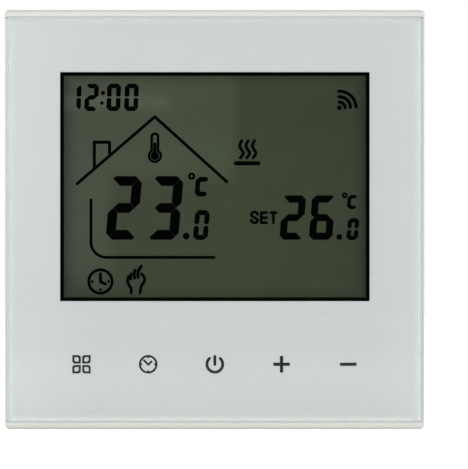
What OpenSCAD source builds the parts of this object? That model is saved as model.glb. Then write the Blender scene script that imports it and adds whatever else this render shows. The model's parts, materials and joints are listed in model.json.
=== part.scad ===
// Programmable wall timer with a glass touch front, in millimetres.
// A display unit pulls forward off a base unit, and the base unit's box sits in a wall box.
// The origin is the centre of the wall plane. The front faces -Y, +X is right and +Z is up.

/* [Front] */
// Side of the square front
front_side = 86; // [84:0.5:90]
// Distance from the wall to the face of the glass
front_depth = 13.3; // [13.1:0.1:15]
// Radius of the front's corners
corner_r = 1; // [0.9:0.1:3]
// Bezel seen beside the glass, at the left and right
side_lip = 0.4; // [0.3:0.05:0.6]
// Bezel seen above and below the glass
end_lip = 1.5; // [1.2:0.1:2]
// Thickness of the bezel's wall
wall_t = 1.6; // [1.2:0.1:2]
// Thickness of the glass pane
glass_t = 2; // [1.5:0.1:2]

/* [Display] */
// Width of the clear window
window_w = 62; // [58:0.5:64]
// Height of the clear window
window_h = 45.5; // [42:0.1:47]
// Window centre, to the right of the front's centre
window_x = 0.05; // [-1:0.05:1]
// Window centre, above the front's centre
window_z = 6.75; // [6:0.05:7]
// Width of the black line round the window
border_w = 0.75; // [0.4:0.05:1]
// Number of display pins
lcd_pin_count = 20; // [8:1:22]

/* [Keys] */
// Number of touch keys
key_count = 5; // [3:1:5]
// Distance between neighbouring keys
key_pitch = 13.68; // [12:0.02:14]
// Height of the row of keys, from the front's centre
key_z = -29.7; // [-31:0.1:-29]
// Width of a key symbol's line
symbol_line = 0.42; // [0.2:0.02:0.5]

/* [Base] */
// Distance between the two wall screws of a pair
wall_pitch = 60; // [60:0.1:60.4]
// Half the width of a slotted wall hole
slot_r = 2.1; // [1.8:0.1:2.2]
// Length of a slotted wall hole
slot_l = 6.5; // [5:0.1:6.5]
// Thickness of the steel mounting plate
plate_t = 1.2; // [1:0.1:1.4]
// Width of the back box
box_w = 48; // [47.6:0.1:48.2]
// Height of the back box
box_h = 50; // [49.8:0.1:50.4]
// Distance from the wall to the back of the box
box_depth = 18; // [18:0.1:20]
// Thickness of the back box's wall
box_wall = 1.6; // [1.4:0.1:1.6]

/* [Terminals] */
// Number of terminals
poles = 6; // [6]
// Distance between neighbouring terminals
pole_pitch = 7; // [6.8:0.1:7]
// Radius of a terminal screw's shank
screw_r = 1.5; // [1.3:0.1:1.5]
// Rise of a clamp cage from open to closed
cage_travel = 2; // [1:0.5:2]
// Radial clearance of a running fit
run_fit = 0.05; // [0.02:0.01:0.1]

/* [Relay] */
// Swing of the relay armature, in degrees
armature_swing = 3.5; // [2:0.5:3.5]

/* [Hidden] */
$fn = 48;
cut = 1; // overrun of a cut past the face it opens
loose = 0.1; // gap between pieces that only sit together

// Colours
ivory = [0.90, 0.91, 0.87];
glass_green = [0.80, 0.90, 0.86, 0.35];
pale_grey = [0.80, 0.83, 0.82];
ink = [0.06, 0.07, 0.07];
olive = [0.25, 0.30, 0.22];
steel = [0.72, 0.73, 0.74];
brass = [0.80, 0.66, 0.35];
copper = [0.72, 0.43, 0.25];
board_green = [0.10, 0.36, 0.22];
board_white = [0.86, 0.88, 0.86];
black_plastic = [0.10, 0.10, 0.11];

// Levels along Y, from the glass back to the wall
glass_front = -front_depth;
glass_back = glass_front + glass_t;
ink_t = 0.06;
mask_front = glass_back + ink_t;
mask_back = mask_front + ink_t;
tape_t = 0.2;
ledge_front = mask_back + tape_t;
ledge_t = 1.3;
ledge_back = ledge_front + ledge_t;
bezel_front = glass_front + 0.2;
side_front = glass_front + 1.1;
bezel_back = -0.3;

polariser_t = 0.18;
lcd_glass_t = 0.7;
lcd_front = mask_back + ink_t;
front_glass_y = lcd_front + polariser_t;
rear_glass_y = front_glass_y + lcd_glass_t;
rear_polariser_y = rear_glass_y + lcd_glass_t;
guide_front = rear_polariser_y + polariser_t + 0.02;
guide_t = 1.6;
guide_back = guide_front + guide_t;
reflector_t = 0.12;
board_front = guide_back + reflector_t + 0.06;
board_t = 1.2;
board_back = board_front + board_t;

// Front outline and what fits inside it
glass_w = front_side - 2 * side_lip;
glass_h = front_side - 2 * end_lip;
glass_gap = 0.05;
glass_chamfer = 0.45;
edge_r = 0.9;
cavity = front_side - 2 * wall_t;
board_side = front_side - 6;
boss_x = board_side / 2 - 3.5;
boss_z = board_side / 2 - 3;
boss_r = 2.6;
fixing_r = 0.95;

// Display sizes
lcd_w = window_w + 4;
lcd_h = window_h + 3.4;
lcd_ledge = 3;
polariser_w = window_w + 2.4;
polariser_h = window_h + 2.2;
guide_w = lcd_w - 1;
guide_h = lcd_h - 1;
frame_bar = 2;
lcd_pin_pitch = 2.54;
lcd_pin_z = window_z - lcd_h / 2 - lcd_ledge - 0.45;
led_w = 1.2;
led_h = 3;
led_count = 3;
led_pitch = 14;

// Keys
key_hole_r = 4.2;
spring_r = 3;
wire_r = 0.28;
spring_turns = 3;

// Wireless board on the back of the display board
radio_x = -29;
radio_z = 25;
radio_w = 15;
radio_h = 18;
radio_t = 0.8;

// Header between the display unit and the base unit
header_z = 19.5;
header_pins_n = 8;
header_pitch = 2.54;
pin_side = 0.64;
plug_t = 2.5;
pin_end = 8.2;
socket_front = 4.5;

// Base levels and sizes
plate_front = -plate_t;
flange_t = 1.2;
flange_front = plate_front - flange_t;
cover_t = 1;
cover_front = flange_front - cover_t;
plate_w = front_side - 8;
plate_h = cavity - 1.2;
ear_x = 18;
ear_z = 28.7;
ear_r = 3.2;
base_screw_r = 1.45;
base_hole_r = 1.5;
box_in_w = box_w - 2 * box_wall;
box_in_h = box_h - 2 * box_wall;
power_front = 13;
power_t = 1.6;
power_back = power_front + power_t;
power_w = box_in_w - 0.8;
power_h = box_in_h - 0.8;

// Row of supply components across the power board
supply_z = -8.5;
lead_r = 0.35;

// Terminal block, whose screws face the back of the wall box
block_w = poles * pole_pitch + 1.8;
block_low = -box_h / 2 + 0.4;
block_high = block_low + 11.4;
block_back = power_back + 12;
clamp_z = block_low + 5.2;
cage_w = 5.2;
cage_l = 6.6;
cage_h = 6.4;
cage_front = power_back + 1;
cage_floor = 1;
cage_window = 3.6;
pocket_back = cage_front + cage_h + cage_travel + 0.1;
strip_y = cage_front + 3.8;
strip_t = 0.7;
strip_w = 3.2;
shoulder_t = 0.5;
head_front = pocket_back + shoulder_t + run_fit;
head_r = 2.1;
head_t = 1.35;
entry_r = 1.4;
entry_y = cage_front + 2.4;

// Transformer
transformer_x = 11;
transformer_z = 7;
core_w = 16;
core_h = 13;
core_t = 5;
leg_w = 4;
core_window_w = 3.6;
core_window_h = 8.2;

// Relay
relay_x = -11.5;
relay_z = 7;
relay_l = 19;
relay_w = 15.4;
relay_h = 14;
relay_shell = 0.8;
pivot_x = relay_x - 7;
pivot_y = 1;
coil_x = relay_x - 1.5;
pole_y = 1.85;
armature_t = 0.8;
armature_back = pole_y - 0.6;
contact_x = relay_x + 6.5;
contact_gap = 1;
relay_floor = power_front - 1.2;
yoke_t = 1;
core_r = 1.6;
pole_head_r = 2.8;
pole_head_t = 0.6;

// ---- Helpers ----

// Extrudes an X-Z outline between two levels along Y
module slab(y_front, y_back) {
    translate([0, y_back, 0])
        rotate([90, 0, 0])
            linear_extrude(y_back - y_front)
                children();
}

// A round post or hole along Y
module post(x, z, r, y_front, y_back) {
    translate([x, y_back, z])
        rotate([90, 0, 0])
            cylinder(r = r, h = y_back - y_front);
}

// A box given by its low and high corners
module block(low, high) {
    translate(low)
        cube(high - low);
}

// A rectangle with round corners, centred on the origin
module rounded(w, h, r) {
    square([w - 2 * r, h], center = true);
    square([w, h - 2 * r], center = true);
    for (x = [-1, 1], z = [-1, 1])
        translate([x * (w / 2 - r), z * (h / 2 - r)])
            circle(r);
}

// A bar with round ends between two points of the X-Z plane
module stroke(from, to, width) {
    run = to - from;
    translate(from)
        rotate(atan2(run[1], run[0])) {
            translate([0, -width / 2])
                square([norm(run), width]);
            circle(d = width);
            translate([norm(run), 0])
                circle(d = width);
        }
}

module ring(r, width) {
    difference() {
        circle(r + width / 2);
        circle(r - width / 2);
    }
}

function key_x(i) = window_x + (i - (key_count - 1) / 2) * key_pitch;
function pole_x(i) = (i - (poles - 1) / 2) * pole_pitch;
function header_x(i) = (i - (header_pins_n - 1) / 2) * header_pitch;
function lcd_pin_x(i) = window_x + (i - (lcd_pin_count - 1) / 2) * lcd_pin_pitch;

// ---- Display unit: bezel and glass ----

// Side view of the bezel, with round top and bottom front edges
module bezel_profile() {
    half = front_side / 2;
    translate([bezel_front + edge_r, -half])
        square([bezel_back - bezel_front - edge_r, front_side]);
    translate([bezel_front, -half + edge_r])
        square([edge_r, front_side - 2 * edge_r]);
    for (s = [-1, 1])
        translate([bezel_front + edge_r, s * (half - edge_r)])
            circle(edge_r);
}

module bezel_body() {
    intersection() {
        slab(bezel_front, bezel_back)
            rounded(front_side, front_side, corner_r);
        translate([-front_side / 2, 0, 0])
            rotate([90, 0, 90])
                linear_extrude(front_side)
                    bezel_profile();
    }
}

// Slots that let room air reach the sensor
module vent_slots() {
    slot_w = 1.4;
    slot_pitch = 3.4;
    slots_each_side = 5;
    for (side = [-1, 1], i = [-slots_each_side:slots_each_side])
        translate([i * slot_pitch, -4.2, side * front_side / 2])
            cube([slot_w, 4.4, 2 * wall_t + 2 * loose], center = true);
}

module front_bezel() {
    release_w = 8;
    color(ivory)
        difference() {
            union() {
                difference() {
                    bezel_body();
                    slab(ledge_back, bezel_back + cut)
                        rounded(cavity, cavity, corner_r / 2);
                }
                for (x = [-boss_x, boss_x], z = [-boss_z, boss_z])
                    post(x, z, boss_r, ledge_back - loose, board_front);
            }
            slab(bezel_front - cut, ledge_front)
                rounded(glass_w + 2 * glass_gap, glass_h + 2 * glass_gap, corner_r / 2);
            for (s = [-1, 1])
                translate([s * front_side / 2, (bezel_front + side_front) / 2 - cut, 0])
                    cube([4 * side_lip, side_front - bezel_front + 2 * cut, glass_h], center = true);
            slab(ledge_front - cut, ledge_back + cut)
                translate([window_x, window_z - lcd_ledge / 2 - 0.4])
                    square([lcd_w + 1, lcd_h + lcd_ledge + 2], center = true);
            for (i = [0:key_count - 1])
                post(key_x(i), key_z, key_hole_r, ledge_front - cut, ledge_back + cut);
            for (x = [-boss_x, boss_x], z = [-boss_z, boss_z])
                post(x, z, fixing_r + 0.03, ledge_back, board_front + cut);
            vent_slots();
            block([-release_w / 2, bezel_back - 1.2, -front_side / 2 - cut],
                [release_w / 2, bezel_back + cut, -front_side / 2 + wall_t + cut]);
        }
}

// Polished pane, bevelled round its face
module cover_glass() {
    color(glass_green)
        hull() {
            slab(glass_front, glass_back - glass_chamfer)
                rounded(glass_w - 2 * glass_chamfer, glass_h - 2 * glass_chamfer, corner_r / 2, $fn = 32);
            slab(glass_front + glass_chamfer, glass_back)
                rounded(glass_w, glass_h, corner_r / 2, $fn = 32);
        }
}

module window_outline(margin) {
    translate([window_x, window_z])
        square([window_w + 2 * margin, window_h + 2 * margin], center = true);
}

// Pale print on the back of the glass
module print_layer() {
    inset = 0.05;
    color(pale_grey)
        slab(mask_front, mask_back)
            difference() {
                rounded(glass_w - 2 * inset, glass_h - 2 * inset, corner_r / 2);
                window_outline(border_w / 2);
            }
}

module window_border() {
    color(ink)
        slab(glass_back, mask_front)
            difference() {
                window_outline(border_w);
                window_outline(0);
            }
}

// ---- Key symbols ----

// One leaf of the menu symbol: a square with two opposite corners rounded
module leaf(side, r) {
    difference() {
        square(side);
        translate([side - r, 0])
            square(r);
        translate([0, side - r])
            square(r);
    }
    intersection() {
        square(side);
        for (p = [[side - r, r], [r, side - r]])
            translate(p)
                circle(r);
    }
}

module menu_symbol() {
    leaf_side = 1.73;
    leaf_r = 0.55;
    leaf_gap = 0.3;
    for (x = [0, 1], z = [0, 1])
        mirror([x, 0])
            mirror([0, z])
                translate([leaf_gap / 2, leaf_gap / 2])
                    difference() {
                        leaf(leaf_side, leaf_r);
                        translate([symbol_line, symbol_line])
                            leaf(leaf_side - 2 * symbol_line, leaf_r - symbol_line / 2);
                    }
}

module clock_symbol() {
    clock_r = 1.7;
    tick = 0.45;
    hub = [0.02, -0.1];
    ring(clock_r, symbol_line);
    for (a = [0:90:270])
        rotate(a)
            translate([clock_r - tick, -symbol_line / 2])
                square([tick, symbol_line]);
    stroke(hub, [-0.88, 0.84], symbol_line);
    stroke(hub, [0.68, 0.56], symbol_line);
}

module power_symbol() {
    arc_r = 1.62;
    arc_line = 0.6;
    opening = 43;
    difference() {
        ring(arc_r, arc_line);
        polygon([[0, 0], 3 * [sin(opening), cos(opening)], 3 * [-sin(opening), cos(opening)]]);
    }
    for (s = [-1, 1])
        translate(arc_r * [s * sin(opening), cos(opening)])
            circle(d = arc_line);
    stroke([0, -0.05], [0, 1.6], arc_line - 0.02);
}

module minus_symbol() {
    bar = [3.4, 0.66];
    square(bar, center = true);
}

module plus_symbol() {
    minus_symbol();
    rotate(90)
        minus_symbol();
}

module key_symbols() {
    color(ink)
        slab(glass_back, mask_front) {
            translate([key_x(0), key_z])
                menu_symbol();
            translate([key_x(1), key_z])
                clock_symbol();
            translate([key_x(2), key_z])
                power_symbol();
            translate([key_x(3), key_z])
                plus_symbol();
            translate([key_x(4), key_z])
                minus_symbol();
        }
}

// Adhesive frame between the print and the bezel's ledge
module glass_tape() {
    tape_w = 4;
    color(black_plastic)
        slab(mask_back, ledge_front)
            difference() {
                rounded(glass_w - 1, glass_h - 1, corner_r / 2);
                square([glass_w - 2 * tape_w, glass_h - 2 * tape_w], center = true);
            }
}

// ---- Display unit: liquid crystal display ----

module lcd_sheet(w, h, y_front, y_back) {
    slab(y_front, y_back)
        translate([window_x, window_z])
            square([w, h], center = true);
}

module lcd_front_polariser() {
    color(olive)
        lcd_sheet(polariser_w, polariser_h, lcd_front, front_glass_y);
}

module lcd_front_glass() {
    color(glass_green)
        lcd_sheet(lcd_w, lcd_h, front_glass_y, rear_glass_y);
}

// The rear glass is taller and leaves a ledge for the pins
module lcd_rear_glass() {
    color(glass_green)
        slab(rear_glass_y, rear_polariser_y)
            translate([window_x, window_z - lcd_ledge / 2])
                square([lcd_w, lcd_h + lcd_ledge], center = true);
}

module lcd_rear_polariser() {
    color(olive)
        lcd_sheet(polariser_w, polariser_h, rear_polariser_y, rear_polariser_y + polariser_t);
}

module light_guide() {
    color([0.92, 0.95, 0.94, 0.6])
        lcd_sheet(guide_w - loose, guide_h - loose, guide_front, guide_back);
}

module reflector_sheet() {
    color("white")
        lcd_sheet(guide_w - loose, guide_h - loose, guide_back + 0.02, guide_back + reflector_t);
}

module led_place(i) {
    translate([window_x + guide_w / 2 + led_w / 2, 0, window_z + (i - (led_count - 1) / 2) * led_pitch])
        children();
}

module backlight_leds() {
    color([0.95, 0.93, 0.75])
        for (i = [0:led_count - 1])
            led_place(i)
                translate([0, (board_front + guide_front) / 2 + 0.1, 0])
                    cube([led_w - loose, board_front - guide_front - 0.2, led_h], center = true);
}

// White frame that carries the glass over the light guide
module lcd_frame() {
    peg_r = 0.9;
    frame_t = board_front - rear_polariser_y;
    color("white") {
        difference() {
            slab(rear_polariser_y, board_front)
                translate([window_x, window_z])
                    difference() {
                        square([guide_w + 2 * frame_bar, guide_h + 2 * frame_bar], center = true);
                        square([guide_w, guide_h], center = true);
                    }
            for (i = [0:led_count - 1])
                led_place(i)
                    translate([0, (rear_polariser_y + board_front) / 2, 0])
                        cube([led_w + 2 * loose, frame_t + cut, led_h + 2 * loose], center = true);
        }
        for (s = [-1, 1])
            post(window_x + s * (guide_w + frame_bar) / 2, window_z + guide_h / 2 - 4, peg_r,
                board_front - loose, board_back - loose);
    }
}

module lcd_pins() {
    pin_w = 0.5;
    pin_t = 0.3;
    color(steel)
        for (i = [0:lcd_pin_count - 1])
            translate([lcd_pin_x(i) - pin_w / 2, 0, lcd_pin_z - pin_t / 2]) {
                translate([0, rear_glass_y - 0.6, 0])
                    cube([pin_w, board_back + 1 - rear_glass_y, pin_t]);
                translate([0, rear_glass_y - 0.6, 0])
                    cube([pin_w, 0.5, 1.6]);
            }
}

// ---- Display unit: board and its components ----

module display_pcb() {
    color(board_green)
        difference() {
            slab(board_front, board_back)
                rounded(board_side, board_side, 2);
            for (x = [-boss_x, boss_x], z = [-boss_z, boss_z])
                post(x, z, 1.3, board_front - cut, board_back + cut);
            for (s = [-1, 1])
                post(window_x + s * (guide_w + frame_bar) / 2, window_z + guide_h / 2 - 4, 1,
                    board_front - cut, board_back + cut);
            for (i = [0:lcd_pin_count - 1])
                post(lcd_pin_x(i), lcd_pin_z, 0.45, board_front - cut, board_back + cut, $fn = 16);
        }
}

// Pan head with a cross recess, seen from behind
module cross_head(x, z, r, y_front, y_back, slot_w, slot_depth) {
    difference() {
        post(x, z, r, y_front, y_back);
        for (a = [0, 90])
            translate([x, y_back, z])
                rotate([0, a, 0])
                    cube([1.3 * r, 2 * slot_depth, slot_w], center = true);
    }
}

module display_screws() {
    screw_head_t = 1.3;
    color(steel)
        for (x = [-boss_x, boss_x], z = [-boss_z, boss_z]) {
            post(x, z, fixing_r, ledge_back + 0.2, board_back + 0.2);
            cross_head(x, z, 2, board_back, board_back + screw_head_t, 0.45, 0.6);
        }
}

// Flat chip with leads on its four sides
module control_chip() {
    chip_side = 10;
    chip_t = 1.4;
    lead_w = 0.3;
    lead_pitch = 0.8;
    leads_half = 5;
    lead_out = 1;
    chip = [-14, board_back + 0.1, -8];
    color(black_plastic)
        translate(chip) {
            translate([0, chip_t / 2, 0])
                cube([chip_side, chip_t, chip_side], center = true);
            for (a = [0:90:270], i = [-leads_half:leads_half])
                rotate([0, a, 0])
                    translate([chip_side / 2 - 0.1, -0.1, i * lead_pitch - lead_w / 2])
                        cube([lead_out, 0.5, lead_w]);
        }
}

module clock_crystal() {
    can_r = 1;
    can_l = 6;
    lead_r = 0.15;
    color(steel)
        translate([-3, board_back + can_r, -8]) {
            cylinder(r = can_r, h = can_l);
            for (s = [-1, 1])
                translate([s * 0.4, 0, -2])
                    cylinder(r = lead_r, h = 2.2, $fn = 16);
        }
}

// Round cell that keeps the clock running when the supply fails
module backup_cell() {
    cell = [31, 27];
    cell_r = 4.6;
    cell_t = 3;
    rim = 0.5;
    color(steel) {
        post(cell[0], cell[1], cell_r, board_back, board_back + cell_t - rim);
        post(cell[0], cell[1], cell_r - rim, board_back, board_back + cell_t);
    }
}

// Small board with half holes along its edges and its aerial at the top
module wireless_board() {
    edge_pads = 7;
    pad_pitch = 2;
    pad_r = 0.4;
    color([0.12, 0.14, 0.30])
        slab(board_back, board_back + radio_t)
            translate([radio_x, radio_z])
                difference() {
                    square([radio_w, radio_h], center = true);
                    for (s = [-1, 1], i = [0:edge_pads - 1])
                        translate([s * radio_w / 2, (i + 0.5) * pad_pitch - radio_h / 2])
                            circle(pad_r, $fn = 16);
                }
}

// Open-backed tin can over the wireless board's chip
module wireless_shield() {
    shield_w = 12.4;
    shield_h = 11.5;
    shield_t = 1.7;
    sheet = 0.2;
    low = [radio_x - shield_w / 2, board_back + radio_t, radio_z - radio_h / 2 + 1];
    high = low + [shield_w, shield_t, shield_h];
    color(steel)
        difference() {
            block(low, high);
            block(low + [sheet, -cut, sheet], high - [sheet, sheet, sheet]);
        }
}

// Bead sensor on two leads behind the lower vent slots
module room_sensor() {
    bead = [9, -3.6, -38.2];
    color([0.12, 0.12, 0.13]) {
        translate(bead)
            sphere(1.2);
        for (s = [-1, 1])
            translate(bead + [s * 0.5, board_back - bead[1], 0])
                rotate([-90, 0, 0])
                    cylinder(r = 0.2, h = bead[1] - board_back, $fn = 16);
    }
}

// Coil springs that press on the back of the glass behind each key.
// The wire's section in the turning plane is drawn so that it is round across the wire.
module touch_spring() {
    spring_h = board_front - mask_back;
    pitch = (spring_h - 2 * wire_r) / spring_turns;
    section = [for (t = [0:60:300])
        let (r = spring_r + wire_r * cos(t), a = wire_r * sin(t) / pitch * 360)
        r * [cos(a), sin(a)]];
    translate([0, board_front - wire_r, 0])
        rotate([90, 0, 0])
            linear_extrude(height = spring_h - 2 * wire_r, twist = -360 * spring_turns,
                    slices = 12 * spring_turns, $fn = 6)
                polygon(section);
}

module touch_springs() {
    color(brass)
        for (i = [0:key_count - 1])
            translate([key_x(i), 0, key_z])
                touch_spring();
}

module header_plug() {
    color(black_plastic)
        translate([0, 0, header_z])
            difference() {
                translate([0, board_back + plug_t / 2, 0])
                    cube([header_pins_n * header_pitch, plug_t, header_pitch], center = true);
                for (i = [0:header_pins_n - 1])
                    translate([header_x(i), board_back + plug_t / 2, 0])
                        cube([pin_side, plug_t + cut, pin_side], center = true);
            }
}

module header_pins() {
    color(brass)
        for (i = [0:header_pins_n - 1])
            translate([header_x(i), (board_back + pin_end) / 2, header_z])
                cube([pin_side, pin_end - board_back, pin_side], center = true);
}

// ---- Base unit: plate, box and cover ----

module wall_slot(along_x) {
    run = slot_l / 2 - slot_r;
    dir = along_x ? [1, 0] : [0, 1];
    square([2 * slot_r, 2 * slot_r] + 2 * (run - slot_r) * dir, center = true);
    for (s = [-1, 1])
        translate(s * run * dir)
            circle(slot_r);
}

// Steel plate with two pairs of slotted holes and four bent tongues that grip the bezel
module mounting_plate() {
    tongue_w = 9;
    tongue_t = 0.8;
    tongue_reach = 5;
    tongue_x = 24;
    dimple_r = 0.35;
    color(steel) {
        difference() {
            slab(plate_front, 0)
                rounded(plate_w, plate_h, 3);
            slab(plate_front - cut, cut)
                rounded(box_w + 0.6, box_h + 0.6, 2.3);
            slab(plate_front - cut, cut) {
                for (s = [-1, 1]) {
                    translate([s * wall_pitch / 2, 0])
                        wall_slot(true);
                    translate([0, s * wall_pitch / 2])
                        wall_slot(false);
                }
            }
            for (x = [-ear_x, ear_x], z = [-ear_z, ear_z])
                post(x, z, base_hole_r, plate_front - cut, cut);
        }
        for (x = [-tongue_x, tongue_x], s = [-1, 1]) {
            translate([x, plate_front - tongue_reach / 2 + loose, s * (plate_h - tongue_t) / 2])
                cube([tongue_w, tongue_reach, tongue_t], center = true);
            translate([x - tongue_w / 4, plate_front - tongue_reach + 1, s * plate_h / 2])
                rotate([0, 90, 0])
                    cylinder(r = dimple_r, h = tongue_w / 2);
        }
    }
}

// Outline shared by the box's flange and the base cover
module flange_outline() {
    rounded(box_w + 4, box_h + 4, 3);
    for (x = [-ear_x, ear_x], s = [-1, 1]) {
        translate([x, s * ear_z])
            circle(ear_r);
        translate([x, s * (ear_z - 2)])
            square([2 * ear_r, 4], center = true);
    }
}

module ear_holes(y_front, y_back) {
    for (x = [-ear_x, ear_x], z = [-ear_z, ear_z])
        post(x, z, base_hole_r, y_front, y_back);
}

module wall_screw_room(y_front, y_back) {
    for (s = [-1, 1])
        slab(y_front, y_back)
            translate([0, s * wall_pitch / 2])
                rounded(8, slot_l + 4, 3);
}

// Outside of the box, with its rear edges rounded
module box_body() {
    rear_r = 1.2;
    length = box_depth - flange_front + 2 * rear_r;
    mid_y = box_depth - length / 2;
    intersection() {
        slab(flange_front, box_depth)
            rounded(box_w, box_h, 2);
        translate([-box_w / 2, mid_y, 0])
            rotate([90, 0, 90])
                linear_extrude(box_w)
                    rounded(length, box_h, rear_r);
        translate([0, mid_y, -box_h / 2])
            linear_extrude(box_h)
                rounded(box_w, length, rear_r);
    }
}

module back_box() {
    rest_l = 5;
    floor_y = box_depth - box_wall;
    recess = [36, 19];
    recess_z = 9;
    recess_depth = 0.35;
    color([0.80, 0.81, 0.80])
        difference() {
            union() {
                difference() {
                    box_body();
                    slab(flange_front - cut, floor_y)
                        rounded(box_in_w, box_in_h, 1);
                }
                slab(flange_front, plate_front)
                    difference() {
                        flange_outline();
                        rounded(box_in_w, box_in_h, 1);
                    }
                for (s = [-1, 1])
                    translate([s * (box_in_w - rest_l) / 2, 0, 0])
                        block([-rest_l / 2, power_back, box_in_h / 2 - rest_l],
                            [rest_l / 2, floor_y + loose, box_in_h / 2 + loose]);
            }
            block([-block_w / 2 - 0.2, power_back, -box_h / 2 - cut],
                [block_w / 2 + 0.2, box_depth + cut, block_high + 0.2]);
            slab(box_depth - recess_depth, box_depth + cut)
                translate([0, recess_z])
                    rounded(recess[0], recess[1], 1);
            ear_holes(flange_front - cut, plate_front + cut);
            wall_screw_room(flange_front - cut, plate_front);
            for (i = [-4:4])
                block([i * 4 - 0.8, 3, box_in_h / 2 - cut], [i * 4 + 0.8, 11, box_h / 2 + cut]);
        }
}

module base_cover() {
    opening = [header_pins_n * header_pitch + 2, header_pitch + 1.6];
    rib_h = 1;
    color([0.86, 0.87, 0.85])
        difference() {
            union() {
                slab(cover_front, flange_front)
                    flange_outline();
                slab(flange_front, flange_front + rib_h)
                    difference() {
                        rounded(box_in_w - 2 * loose, box_in_h - 2 * loose, 1);
                        rounded(box_in_w - 3, box_in_h - 3, 1);
                    }
            }
            slab(cover_front - cut, flange_front + cut)
                translate([0, header_z])
                    square(opening, center = true);
            ear_holes(cover_front - cut, flange_front + cut);
            wall_screw_room(cover_front - cut, flange_front + cut);
            for (i = [-3:3])
                block([i * 5 - 0.9, cover_front - cut, -14], [i * 5 + 0.9, flange_front + cut, 4]);
        }
}

module base_screws() {
    color(steel)
        for (x = [-ear_x, ear_x], z = [-ear_z, ear_z]) {
            post(x, z, base_screw_r, cover_front - 0.2, -0.1);
            mirror([0, 1, 0])
                cross_head(x, z, 2.6, -cover_front, -cover_front + 1.6, 0.6, 0.8);
        }
}

// ---- Base unit: power board ----

module power_pcb() {
    color(board_green)
        difference() {
            slab(power_front, power_back)
                rounded(power_w, power_h, 1);
            for (i = [0:poles - 1])
                block([pole_x(i) - strip_w / 2 - loose, power_front - cut, block_high - 1.8],
                    [pole_x(i) + strip_w / 2 + loose, power_back + cut, block_high - 0.8]);
        }
}

module transformer_place() {
    translate([transformer_x, power_front - core_h / 2 - 0.3, transformer_z])
        children();
}

// Ferrite core with a centre leg
module transformer_core() {
    color([0.22, 0.22, 0.24])
        transformer_place()
            difference() {
                cube([core_w, core_h, core_t], center = true);
                for (s = [-1, 1])
                    translate([s * (leg_w + core_window_w) / 2, 0, 0])
                        cube([core_window_w, core_window_h, core_t + cut], center = true);
            }
}

module transformer_coil() {
    coil_w = leg_w + 2 * core_window_w - 0.2;
    coil_h = core_window_h - 0.2;
    coil_d = 13;
    flange = 0.7;
    color([0.90, 0.78, 0.25])
        transformer_place()
            difference() {
                union() {
                    cube([coil_w - 0.8, coil_h, coil_d - 1.6], center = true);
                    for (s = [-1, 1])
                        translate([0, s * (coil_h - flange) / 2, 0])
                            cube([coil_w, flange, coil_d], center = true);
                }
                cube([leg_w + 0.1, coil_h + cut, core_t + 0.1], center = true);
            }
}

// A can with a rolled groove near its vented end, standing on two leads
module capacitor_can(x, r, h) {
    top = power_front - h;
    stand = 0.2;
    groove = [1.1, 1.7];
    groove_depth = 0.3;
    lead_half_pitch = 1.25;
    post(x, supply_z, r, top, top + groove[0]);
    post(x, supply_z, r - groove_depth, top + cut / 2, top + groove[1] + loose);
    post(x, supply_z, r, top + groove[1], power_front - stand);
    for (s = [-1, 1])
        post(x + s * lead_half_pitch, supply_z, lead_r, power_front - 2 * stand, power_front, $fn = 16);
}

module smoothing_capacitors() {
    color([0.10, 0.12, 0.30]) {
        capacitor_can(9, 4, 12);
        capacitor_can(18, 3.1, 11);
    }
}

module mains_capacitor() {
    body = [13, 11, 6];
    stand = 0.3;
    lead_half_pitch = 5;
    centre = [-14, power_front - stand - body[1] / 2, supply_z];
    color([0.85, 0.70, 0.20]) {
        translate(centre)
            cube(body, center = true);
        for (s = [-1, 1])
            post(centre[0] + s * lead_half_pitch, supply_z, lead_r, power_front - stand - loose,
                power_front, $fn = 16);
    }
}

module varistor() {
    disc_r = 5;
    disc_t = 3.6;
    disc_x = -1;
    stand = 1;
    lead_half_pitch = 2.5;
    color([0.15, 0.30, 0.60]) {
        translate([disc_x, power_front - disc_r - stand, supply_z - disc_t / 2])
            cylinder(r = disc_r, h = disc_t);
        for (s = [-1, 1])
            post(disc_x + s * lead_half_pitch, supply_z, lead_r, power_front - stand - disc_r / 2,
                power_front, $fn = 16);
    }
}

module fuse() {
    body_r = 1.8;
    body_l = 9;
    cap_l = 1.8;
    place = [8, power_front - body_r - 0.6, -18];
    color(board_white)
        translate(place) {
            rotate([0, 90, 0])
                cylinder(r = body_r - 0.2, h = body_l);
            for (x = [0, body_l - cap_l])
                translate([x, 0, 0])
                    rotate([0, 90, 0])
                        cylinder(r = body_r, h = cap_l);
            for (x = [cap_l / 2, body_l - cap_l / 2])
                translate([x, 0, 0])
                    rotate([-90, 0, 0])
                        cylinder(r = lead_r, h = power_front - place[1], $fn = 16);
        }
}

module header_socket() {
    hole_r = 0.55;
    color(black_plastic)
        difference() {
            block([-header_pins_n * header_pitch / 2, socket_front, header_z - 1.3],
                [header_pins_n * header_pitch / 2, power_front, header_z + 1.3]);
            for (i = [0:header_pins_n - 1])
                post(header_x(i), header_z, hole_r, socket_front - cut, pin_end + 1, $fn = 24);
        }
}

// ---- Base unit: relay ----

module relay_cover() {
    low = [relay_x - relay_l / 2, power_front - relay_h, relay_z - relay_w / 2];
    high = [relay_x + relay_l / 2, power_front, relay_z + relay_w / 2];
    color([0.12, 0.32, 0.62])
        difference() {
            block(low, high);
            block(low + [relay_shell, relay_shell, relay_shell], high + [-relay_shell, cut, -relay_shell]);
        }
}

module relay_base() {
    gap = relay_shell + loose;
    color(black_plastic)
        block([relay_x - relay_l / 2 + gap, relay_floor, relay_z - relay_w / 2 + gap],
            [relay_x + relay_l / 2 - gap, power_front - loose, relay_z + relay_w / 2 - gap]);
}

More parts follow.
